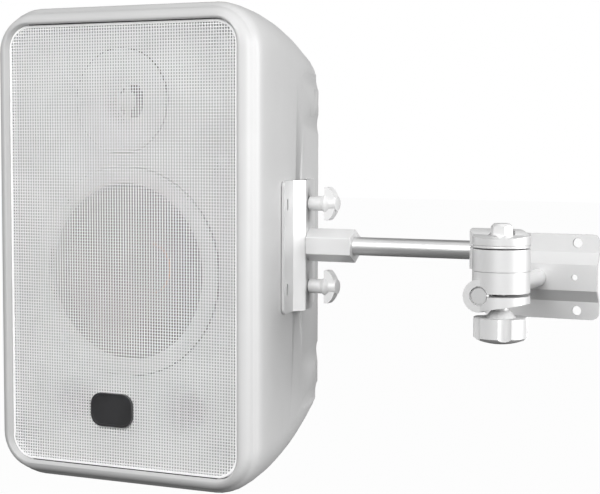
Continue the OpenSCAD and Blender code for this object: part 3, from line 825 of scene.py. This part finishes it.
class SPEAKER_OT_drivers(bpy.types.Operator):
    """Finishes the woofer, the tweeter and the ports"""

    bl_idname = "speaker.drivers"
    bl_label = "Drivers and ports"

    def execute(self, context):
        low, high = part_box("woofer_cone")
        centre = Vector(((low[0] + high[0]) / 2, CABINET.y, (low[2] + high[2]) / 2))
        roll = [(44.7, 9.3), (44.7, 8.6), (44.0, 8.6)]
        roll += arc(40.6, 9.4, 3.4, range(15, 166, 15))
        roll += [(37.2, 8.6), (36.3, 8.6), (36.3, 9.3), (38.1, 9.3)]
        roll += arc(40.6, 9.4, 2.6, range(165, 14, -15))
        roll += [(43.2, 9.3), (44.7, 9.3)]
        surround = turned("woofer_roll", roll, centre)
        smooth(surround, 50)
        stand_for(surround, FINISH["dark_rubber"], "woofer_surround")

        front = [
            (13.5, 27.3), (18, 23.9), (23, 20.0), (28, 15.9), (32, 12.7), (35, 10.3), (36.0, 9.45),
        ]
        back = [
            (37.3, 9.45), (37.3, 10.2), (36.3, 10.3), (31, 14.6), (25, 19.4), (19, 24.2),
            (13.5, 28.3),
        ]
        cone = turned("woofer_pressed_cone", front + back + front[:1], centre)
        smooth(cone, 50)
        stand_for(cone, FINISH["cone_paper"], "woofer_cone")

        dome = cup(37.75, 17.9, range(0, 49, 6))
        hollow = cup(37.75, 17.3, range(48, -1, -6))
        cap = turned("woofer_cap", dome + hollow, centre)
        smooth(cap, 50)
        stand_for(cap, FINISH["cone_paper"], "woofer_dust_cap")

        # The woofer's gasket is made wider than the real one, out past the frame, so that its dark
        # rim paints the shadow line round the woofer's frame: partly the real gasket, partly
        # painted shadow.
        gasket_shadow_ring = turned(
            "woofer_gasket_shadow_ring",
            [(46.7, 5.25), (53.2, 5.25), (53.2, 5.95), (46.7, 5.95), (46.7, 5.25)],
            centre,
        )
        round_edges(gasket_shadow_ring, 0.12 * MM)
        smooth(gasket_shadow_ring, 40)
        stand_for(gasket_shadow_ring, FINISH["dark_rubber"], "woofer_gasket")
        low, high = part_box("tweeter_faceplate")
        centre = Vector(((low[0] + high[0]) / 2, CABINET.y, (low[2] + high[2]) / 2))
        # A thin dark ring round the tweeter's faceplate is painted shadow: it stands for the dark
        # line of the gap round the faceplate, and no such part is there.
        shadow_piece = turned(
            "tweeter_shadow_ring",
            [(25.85, 5.3), (26.5, 5.3), (26.5, 5.95), (25.85, 5.95), (25.85, 5.3)],
            centre,
        )
        smooth(shadow_piece, 40)
        shadow_piece.data.materials.append(FINISH["dark_rubber"])
        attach(shadow_piece, BODY_OF["tweeter_faceplate"])

        for node in (
            "woofer_basket", "woofer_spider", "woofer_voice_coil", "woofer_top_plate",
            "woofer_magnet", "woofer_yoke", "tweeter_faceplate", "tweeter_phase_plug",
            "tweeter_dome", "tweeter_top_plate", "tweeter_magnet", "tweeter_yoke",
            "port_tube_left", "port_tube_right",
        ):
            dress(node, FINISH[SLOT_OF[node]], angle=40)
        return {"FINISHED"}


class SPEAKER_OT_inside(bpy.types.Operator):
    """Finishes the crossover, the terminals and the screws"""

    bl_idname = "speaker.inside"
    bl_label = "Crossover, terminals and screws"

    def execute(self, context):
        for node, edge in (
            ("crossover_board", 0.0), ("crossover_coils", 0.8), ("crossover_capacitors", 0.6),
            ("crossover_resistor", 0.5), ("board_screws", 0.0), ("terminal_cup", 0.3),
            ("terminal_lever_red", 0.3), ("terminal_lever_black", 0.3), ("terminal_screws", 0.3),
            ("cabinet_screws", 0.0), ("bracket_inserts", 0.0), ("woofer_screws", 0.0),
            ("tweeter_screws", 0.0), ("clamp_knob_insert", 0.0),
        ):
            dress(node, FINISH[SLOT_OF[node]], edge * MM)
        return {"FINISHED"}


class SPEAKER_OT_bracket(bpy.types.Operator):
    """Finishes the bent bracket, its sleeve and its thumb screws"""

    bl_idname = "speaker.bracket"
    bl_label = "Bracket and thumb screws"

    def execute(self, context):
        edge = context.scene.speaker_sizes.edge
        dress("speaker_bracket", FINISH["white_metal"], edge)
        low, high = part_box("arm_rod")
        base = Vector((CABINET.x, (low[1] + high[1]) / 2, (low[2] + high[2]) / 2))
        sleeve = round_bar("hexagonal_sleeve", 0, base, 70, 101.2, 8.66, sides=6, turn=30)
        trim(sleeve, at(base, 76.42, -7, 0), (-0.985, -0.171, 0))
        combine(sleeve, round_bar("bore", 0, base, 80, 120, 4.7), "DIFFERENCE")
        outward(sleeve)
        round_edges(sleeve, edge)
        smooth(sleeve, flat_faces=True)
        stand_for(sleeve, FINISH["white_metal"], "hex_socket")

        for node, rise in (("thumb_knob_upper", 21.4), ("thumb_knob_lower", -21.4)):
            middle = at(base, 0, 0, rise)
            half_thick, half_span = 2.9, 8.5
            head = round_bar(
                "thumb_wings", 1, at(middle, 80, 0, 0), -half_thick, half_thick, 11
            )
            trim(head, at(middle, 84.9, 0, 0), (-1, 0, 0))
            trim(head, at(middle, 0, 0, half_span), (0, 0, 1))
            trim(head, at(middle, 0, 0, -half_span), (0, 0, -1))
            collar = turned(node + "_turned", [
                (2.95, 76.2), (3.75, 76.2), (3.75, 82.9), (5.4, 85.5), (3.9, 87.5), (3.75, 91.3),
                (0, 91.3), (0, 85.2), (2.95, 85.2), (2.95, 76.2),
            ], middle, 0)
            combine(collar, head, "UNION")
            outward(collar)
            round_edges(collar, 0.5 * MM, 3)
            smooth(collar, flat_faces=True)
            stand_for(collar, FINISH["white_nylon"], node)
        for node in ("thumb_stud_upper", "thumb_stud_lower"):
            dress(node, FINISH["zinc_steel"], 0.3 * MM)
        bar = bar_along("arm_bar", "arm_rod", 0, 0.8 * MM)
        stand_for(bar, FINISH["rod_steel"], "arm_rod")
        return {"FINISHED"}


class SPEAKER_OT_clamp(bpy.types.Operator):
    """Finishes the clamp, its bolt and its knob"""

    bl_idname = "speaker.clamp"
    bl_label = "Clamp"

    def execute(self, context):
        edge = context.scene.speaker_sizes.edge
        low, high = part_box("clamp_washer")
        base = Vector(((low[0] + high[0]) / 2, (low[1] + high[1]) / 2, low[2] - 28 * MM))
        # Millimetres from the bolt and the lower bar: the upper bar lies behind and above
        offset, rise, bore, casting, through = 7.45, 20.6, 4.7, 14, 30
        upper_bar, lower_bar = at(base, 0, offset, rise), at(base, -offset, 0, 0)
        back = at(base, 0, 13.85, 0)

        upper = round_bar("clamp_upper_casting", 2, base, 11.8, 31.6, casting)
        trim(upper, at(base, 0, -14, 27.7), (0, -0.093, 1))
        trim(upper, back, (0, 1, 0))
        boss = round_bar("boss", 0, upper_bar, -17, 13.2, 11)
        trim(boss, back, (0, 1, 0))
        trim(boss, at(base, 0, 0, 11.8), (0, 0, -1))
        trim(boss, at(base, -14.1, 0, 0), (-13.8, -2.9, 0))
        trim(boss, at(base, 14.1, 0, 0), (13.8, 1.4, 0))
        combine(upper, boss, "UNION")
        combine(upper, round_bar("bore", 0, upper_bar, -through, through, bore), "DIFFERENCE")
        slit = block("slit", at(base, -through, -through, 22.4), at(base, through, offset, 23.1))
        combine(upper, slit, "DIFFERENCE")
        groove = round_bar("groove", 2, base, 23.8, 24.5, 20)
        combine(groove, round_bar("core", 2, base, 23, 25, 13.4), "DIFFERENCE")
        trim(groove, at(base, 0, 2, 0), (0, 1, 0))
        combine(upper, groove, "DIFFERENCE")
        combine(upper, round_bar("bolt_bore", 2, base, 0, 60, 2.6), "DIFFERENCE")
        combine(upper, round_bar("seat", 2, base, 28, 40, 6.5), "DIFFERENCE")

        lower = round_bar("clamp_lower_casting", 2, base, -12, 11.6, casting)
        trim(lower, at(base, 0, 0, -6.1), (0.1655, 0, -1))
        combine(lower, round_bar("boss", 1, lower_bar, -12.2, 12.5, 8), "UNION")
        combine(lower, round_bar("bore", 1, lower_bar, -through, through, bore), "DIFFERENCE")
        slit = block("slit", at(base, -offset, -through, -0.3), at(base, 33, through, 1.3))
        combine(lower, slit, "DIFFERENCE")
        combine(lower, round_bar("bolt_bore", 2, base, -30, 60, 2.9), "DIFFERENCE")
        combine(lower, round_bar("seat", 2, base, -20, -5.4, 5.7), "DIFFERENCE")
        for piece, node in ((upper, "clamp_upper_block"), (lower, "clamp_lower_block")):
            outward(piece)
            round_edges(piece, edge)
            smooth(piece, flat_faces=True)
            stand_for(piece, FINISH["white_metal"], node)

        dome = cup(8, 32, range(0, 24, 3))
        knob = turned("clamp_lobed_knob", dome + [
            (13.1, -20.6), (13.1, -11), (7.2, -11), (4.8, -7.9), (3.8, -7.4), (3.8, -5.6),
            (2.9, -5.6), (2.9, -8), (4, -8), (4, -18), (0, -18),
        ], base, 2)
        lobes, first_turn, flute_circle = 5, -65, 16.5
        for lobe in range(lobes):
            angle = math.radians(360 / lobes * lobe + first_turn)
            place = at(base, flute_circle * math.cos(angle), flute_circle * math.sin(angle), 0)
            combine(knob, round_bar("flute", 2, place, -30, -5, 5, 64), "DIFFERENCE")
        outward(knob)
        round_edges(knob, 0.5 * MM, 3)
        smooth(knob, flat_faces=True)
        stand_for(knob, FINISH["white_nylon"], "clamp_knob")
        dress("clamp_bolt", FINISH["white_metal"], 0.4 * MM)
        dress("clamp_washer", FINISH["rod_steel"], 0.15 * MM)
        return {"FINISHED"}


class SPEAKER_OT_wall_mount(bpy.types.Operator):
    """Finishes the wall plate and its rod"""

    bl_idname = "speaker.wall_mount"
    bl_label = "Wall plate"

    def execute(self, context):
        dress("wall_plate", FINISH["white_metal"], context.scene.speaker_sizes.edge)
        bar = bar_along("wall_bar", "wall_rod", 1, 0.9 * MM)
        stand_for(bar, FINISH["rod_steel_y"], "wall_rod")
        return {"FINISHED"}


def backdrop_material(name, lit, seen):
    """Matt surface that is white to the camera, darker to other rays, and keeps the shadow."""
    material, tree, shader = principled(name)
    shader.inputs["Base Color"].default_value = grey(lit)
    shader.inputs["Roughness"].default_value = 0.9
    glow = tree.nodes.new("ShaderNodeEmission")
    glow.inputs["Color"].default_value = grey(1.0)
    glow.inputs["Strength"].default_value = 1.0
    rays = tree.nodes.new("ShaderNodeLightPath")
    direct = tree.nodes.new("ShaderNodeMath")
    direct.operation = "MULTIPLY"
    direct.inputs[1].default_value = seen
    tree.links.new(rays.outputs["Is Camera Ray"], direct.inputs[0])
    mix = tree.nodes.new("ShaderNodeMixShader")
    tree.links.new(direct.outputs[0], mix.inputs["Fac"])
    tree.links.new(shader.outputs["BSDF"], mix.inputs[1])
    tree.links.new(glow.outputs["Emission"], mix.inputs[2])
    tree.links.new(mix.outputs["Shader"], tree.nodes["Material Output"].inputs["Surface"])
    return material


def area_lamp(name, place, target, size, power):
    """A soft square lamp aimed at a point."""
    clear_selection()
    bpy.ops.object.light_add(type="AREA", location=place)
    lamp = bpy.context.object
    lamp.name = name
    lamp.data.shape = "SQUARE"
    lamp.data.size = size
    lamp.data.energy = power
    lamp.rotation_euler = (target - place).to_track_quat("-Z", "Y").to_euler()


class SPEAKER_OT_stage(bpy.types.Operator):
    """Sets the floor, the lamps, the world and the camera"""

    bl_idname = "speaker.stage"
    bl_label = "Stage"

    def execute(self, context):
        scene = context.scene
        scene.view_settings.view_transform = "Standard"

        clear_selection()
        bpy.ops.mesh.primitive_plane_add(size=14.0, location=(0, 3.0, -0.36))
        floor = context.object
        floor.name = "floor"
        floor.data.materials.append(backdrop_material("pale_floor", lit=0.12, seen=0.98))

        world = bpy.data.worlds.new("studio")
        scene.world = world
        world.use_nodes = True
        tree = world.node_tree
        room = tree.nodes["Background"]
        room.inputs["Color"].default_value = grey(1.0)
        room.inputs["Strength"].default_value = 0.2
        white = tree.nodes.new("ShaderNodeBackground")
        white.inputs["Color"].default_value = grey(1.0)
        white.inputs["Strength"].default_value = 1.0
        rays = tree.nodes.new("ShaderNodeLightPath")
        either = tree.nodes.new("ShaderNodeMath")
        either.operation = "MAXIMUM"
        tree.links.new(rays.outputs["Is Camera Ray"], either.inputs[0])
        tree.links.new(rays.outputs["Is Transmission Ray"], either.inputs[1])
        mix = tree.nodes.new("ShaderNodeMixShader")
        tree.links.new(either.outputs[0], mix.inputs["Fac"])
        tree.links.new(room.outputs["Background"], mix.inputs[1])
        tree.links.new(white.outputs["Background"], mix.inputs[2])
        tree.links.new(mix.outputs["Shader"], tree.nodes["World Output"].inputs["Surface"])

        # Degrees from the front towards the right and up, then metres, metres and watts
        aim = Vector((-0.08, -0.1, 0.02))
        for name, turn, rise, distance, size, power in (
            ("front_lamp", 6, 26, 1.7, 1.0, 28.0),
            ("right_lamp", 95, 10, 1.7, 1.0, 30.0),
            ("top_lamp", 0, 80, 1.7, 1.2, 4.0),
        ):
            round_way, up = math.radians(turn), math.radians(rise)
            level = math.cos(up)
            way = Vector((math.sin(round_way) * level, -math.cos(round_way) * level, math.sin(up)))
            area_lamp(name, aim + way * distance, aim, size, power)

        bpy.ops.object.camera_add(location=CABINET + Vector((0.3801, -0.6229, 0.0521)))
        camera = context.object
        camera.name = "camera"
        yaw, pitch, roll = math.radians(24.32), math.radians(4.07), math.radians(0.16)
        turn = (
            Matrix.Rotation(yaw, 4, "Z")
            @ Matrix.Rotation(math.pi / 2 - pitch, 4, "X")
            @ Matrix.Rotation(roll, 4, "Z")
        )
        camera.rotation_euler = turn.to_euler()
        camera.data.sensor_width = 36.0
        camera.data.lens = 87.12
        camera.data.clip_start = 0.01
        scene.camera = camera
        return {"FINISHED"}


class SPEAKER_PT_panel(bpy.types.Panel):
    """Lists the settings and the steps"""

    bl_label = "Wall loudspeaker"
    bl_idname = "SPEAKER_PT_panel"
    bl_space_type = "VIEW_3D"
    bl_region_type = "UI"
    bl_category = "Loudspeaker"

    def draw(self, context):
        for group in (context.scene.speaker_colours, context.scene.speaker_sizes):
            box = self.layout.box()
            for key in group.bl_rna.properties.keys():
                if key not in ("rna_type", "name"):
                    box.prop(group, key)
        for step in STEPS:
            self.layout.operator(step.bl_idname)


STEPS = (
    SPEAKER_OT_finishes,
    SPEAKER_OT_stage,
    SPEAKER_OT_cabinet,
    SPEAKER_OT_grille,
    SPEAKER_OT_badge,
    SPEAKER_OT_drivers,
    SPEAKER_OT_inside,
    SPEAKER_OT_bracket,
    SPEAKER_OT_clamp,
    SPEAKER_OT_wall_mount,
)
CLASSES = (SpeakerColours, SpeakerSizes, *STEPS, SPEAKER_PT_panel)


def register():
    """Registers the settings, the steps and the panel."""
    for cls in CLASSES:
        bpy.utils.register_class(cls)
    bpy.types.Scene.speaker_colours = bpy.props.PointerProperty(type=SpeakerColours)
    bpy.types.Scene.speaker_sizes = bpy.props.PointerProperty(type=SpeakerSizes)


def unregister():
    """Takes them away again."""
    del bpy.types.Scene.speaker_sizes
    del bpy.types.Scene.speaker_colours
    for cls in reversed(CLASSES):
        bpy.utils.unregister_class(cls)


def main():
    """Runs every step in order."""
    register()
    bpy.ops.speaker.finishes()
    bpy.ops.speaker.stage()
    bpy.ops.speaker.cabinet()
    bpy.ops.speaker.grille()
    bpy.ops.speaker.badge()
    bpy.ops.speaker.drivers()
    bpy.ops.speaker.inside()
    bpy.ops.speaker.bracket()
    bpy.ops.speaker.clamp()
    bpy.ops.speaker.wall_mount()
    clear_selection()


if __name__ == "__main__":
    main()
